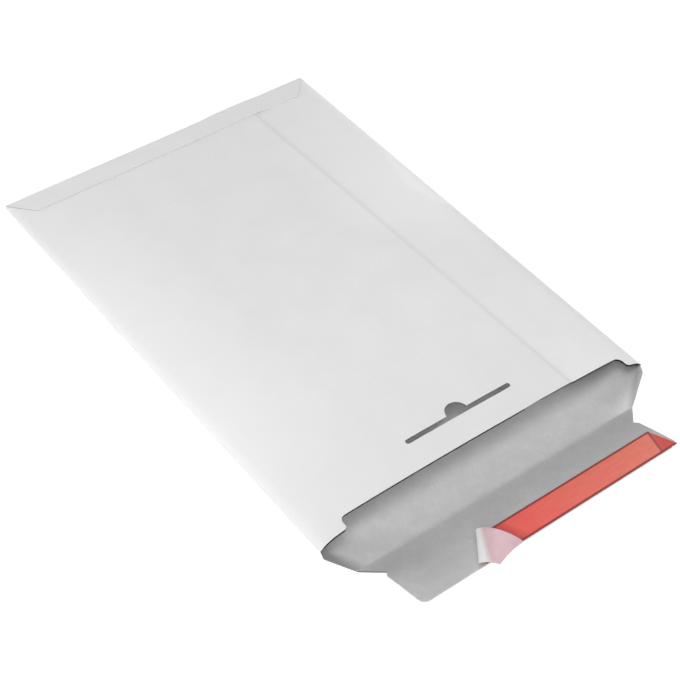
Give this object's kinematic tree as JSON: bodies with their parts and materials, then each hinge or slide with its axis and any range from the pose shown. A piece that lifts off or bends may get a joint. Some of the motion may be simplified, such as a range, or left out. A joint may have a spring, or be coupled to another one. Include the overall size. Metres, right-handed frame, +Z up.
{
  "type": "cardboard envelope",
  "caption": "Rigid solid-board shipping envelope, white outside and grey inside, mouth open, with a creased closing flap, adhesive strip and peel-off liner.",
  "frame": {"origin": "middle of the back panel's underside, on the surface that the envelope lies on", "axes": "+X across the envelope to the side of the seam, +Y from the mouth to the closed end, +Z up out of the back panel"},
  "size_m": [0.246, 0.4406, 0.0482],
  "materials": {
    "board": "white clay-coated solid board, satin",
    "board_inside": "uncoated grey recycled board, matt",
    "adhesive": "clear tacky adhesive film",
    "liner": "thin red plastic film, satin"
  },
  "bodies": {
    "pocket": {"board_pocket": "board"},
    "flap": {"closing_flap": "board_inside", "adhesive_strip": "adhesive", "release_liner": "liner"}
  },
  "joints": [
    {"name": "flap_crease", "type": "hinge", "parent": "pocket", "child": "flap", "pos_m": [0, -0.1943, 0.0006], "axis": [-1, 0, 0], "range_deg": [-18, 90]}
  ]
}
